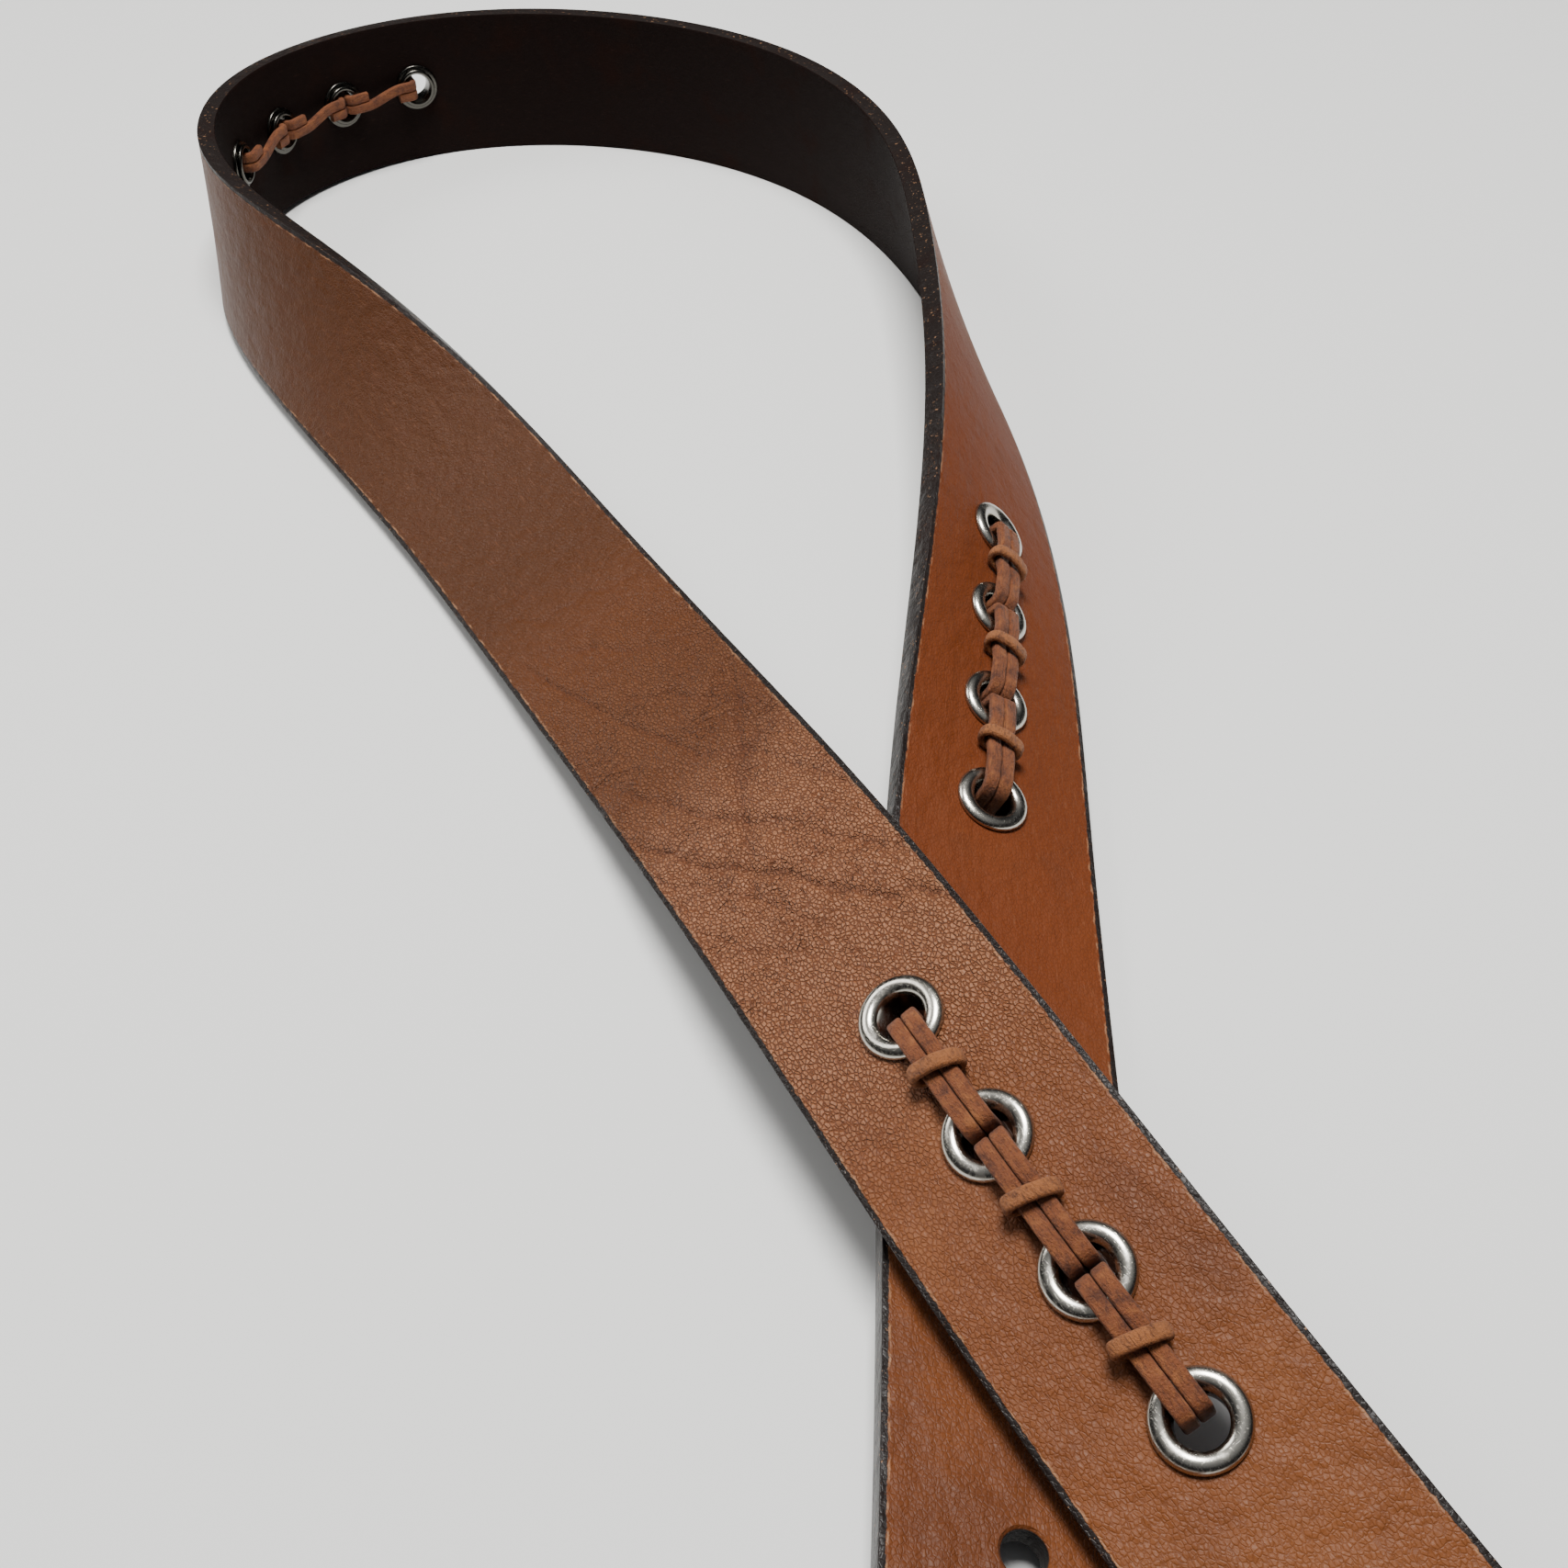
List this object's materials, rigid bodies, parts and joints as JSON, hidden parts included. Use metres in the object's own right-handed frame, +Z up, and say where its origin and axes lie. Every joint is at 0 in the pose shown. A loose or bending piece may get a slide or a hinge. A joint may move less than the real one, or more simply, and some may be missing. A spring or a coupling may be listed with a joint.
{
  "type": "laced leather belt",
  "caption": "Brown leather belt with laced metal eyelets, a single-prong buckle, a sliding keeper and punched prong holes, laid down in an open loop.",
  "frame": {"origin": "middle of the laid-down belt's outline, on the surface that it lies on", "axes": "+Z up; +Y from the buckle towards the back of the loop; the buckle bar runs along X"},
  "size_m": [0.2874, 0.5446, 0.0337],
  "materials": {
    "strap_leather": "pebbled reddish-brown grain with creases, near-black flesh side, burnished dark edges",
    "lace_leather": "mottled tan square leather lace, slightly waxed",
    "nickel": "polished nickel plate with fine scratches"
  },
  "bodies": {
    "strap": {"strap": "strap_leather", "eyelet_front_1": "nickel", "washer_front_1": "nickel", "eyelet_front_2": "nickel", "washer_front_2": "nickel", "eyelet_front_3": "nickel", "washer_front_3": "nickel", "eyelet_front_4": "nickel", "washer_front_4": "nickel", "lace_front_1": "lace_leather", "wrap_front_1": "lace_leather", "lace_front_2": "lace_leather", "wrap_front_2": "lace_leather", "lace_front_3": "lace_leather", "wrap_front_3": "lace_leather", "eyelet_left_1": "nickel", "washer_left_1": "nickel", "eyelet_left_2": "nickel", "washer_left_2": "nickel", "eyelet_left_3": "nickel", "washer_left_3": "nickel", "eyelet_left_4": "nickel", "washer_left_4": "nickel", "lace_left_1": "lace_leather", "wrap_left_1": "lace_leather", "lace_left_2": "lace_leather", "wrap_left_2": "lace_leather", "lace_left_3": "lace_leather", "wrap_left_3": "lace_leather", "eyelet_right_1": "nickel", "washer_right_1": "nickel", "eyelet_right_2": "nickel", "washer_right_2": "nickel", "eyelet_right_3": "nickel", "washer_right_3": "nickel", "eyelet_right_4": "nickel", "washer_right_4": "nickel", "lace_right_1": "lace_leather", "wrap_right_1": "lace_leather", "lace_right_2": "lace_leather", "wrap_right_2": "lace_leather", "lace_right_3": "lace_leather", "wrap_right_3": "lace_leather", "screw_post_left": "nickel", "screw_post_right": "nickel", "screw_head_left": "nickel", "screw_head_right": "nickel"},
    "frame": {"buckle_frame": "nickel"},
    "prong": {"buckle_prong": "nickel"},
    "keeper": {"keeper": "strap_leather"}
  },
  "joints": [
    {"name": "buckle_swing", "type": "hinge", "parent": "strap", "child": "frame", "pos_m": [-0.00394, -0.23457, 0.00471], "axis": [-1, 0, 0], "range_deg": [-60, 75]},
    {"name": "prong_lift", "type": "hinge", "parent": "frame", "child": "prong", "pos_m": [-0.00394, -0.23457, 0.00471], "axis": [-1, 0, 0], "range_deg": [0, 50]},
    {"name": "keeper_slide", "type": "slide", "parent": "strap", "child": "keeper", "axis": [0, 0.9991, -0.0424], "range_m": [-0.005, 0.005]}
  ]
}
